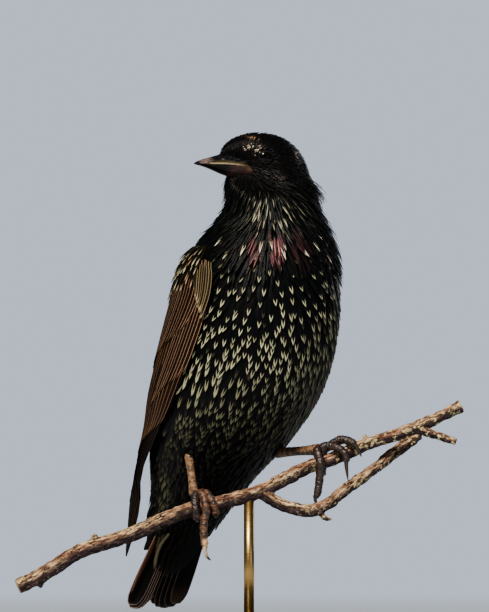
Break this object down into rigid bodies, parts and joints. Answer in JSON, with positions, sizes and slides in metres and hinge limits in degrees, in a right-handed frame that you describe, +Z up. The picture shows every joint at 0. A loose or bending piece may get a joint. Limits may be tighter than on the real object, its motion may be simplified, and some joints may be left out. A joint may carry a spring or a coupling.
{
  "type": "starling display model",
  "caption": "Life-size still model of a spotted starling in winter plumage, head turned over its right shoulder, gripping a cut length of branch on a round display stand.",
  "frame": {"origin": "centre of the stand base's underside, at floor level", "axes": "+Z up; +X along the branch from its low end to its high end; the viewer of the picture stands on the -Y side"},
  "size_m": [0.1749, 0.1134, 0.2016],
  "materials": {
    "black_plumage": "glossy black feathers with green and purple sheen and buff tip spots",
    "bill_horn": "satin dark grey horn",
    "dark_eye": "wet, near black",
    "leg_scutes": "dry reddish-brown scutes, darker on the toes and claws",
    "bark": "rough tan bark, dark beneath",
    "stand_ebonised_wood": "satin ebonised hardwood",
    "stand_brass": "brushed brass"
  },
  "bodies": {
    "root": {"head": "black_plumage", "bill_upper": "bill_horn", "bill_lower": "bill_horn", "eye_left": "dark_eye", "eye_right": "dark_eye", "neck": "black_plumage", "torso": "black_plumage", "wing_left": "black_plumage", "wing_right": "black_plumage", "tail": "black_plumage", "thigh_left": "black_plumage", "thigh_right": "black_plumage", "tarsus_left": "leg_scutes", "tarsus_right": "leg_scutes", "foot_left": "leg_scutes", "foot_right": "leg_scutes", "perch_branch": "bark", "perch_twig": "bark", "stand_base": "stand_ebonised_wood", "stand_rod": "stand_brass"}
  },
  "joints": []
}
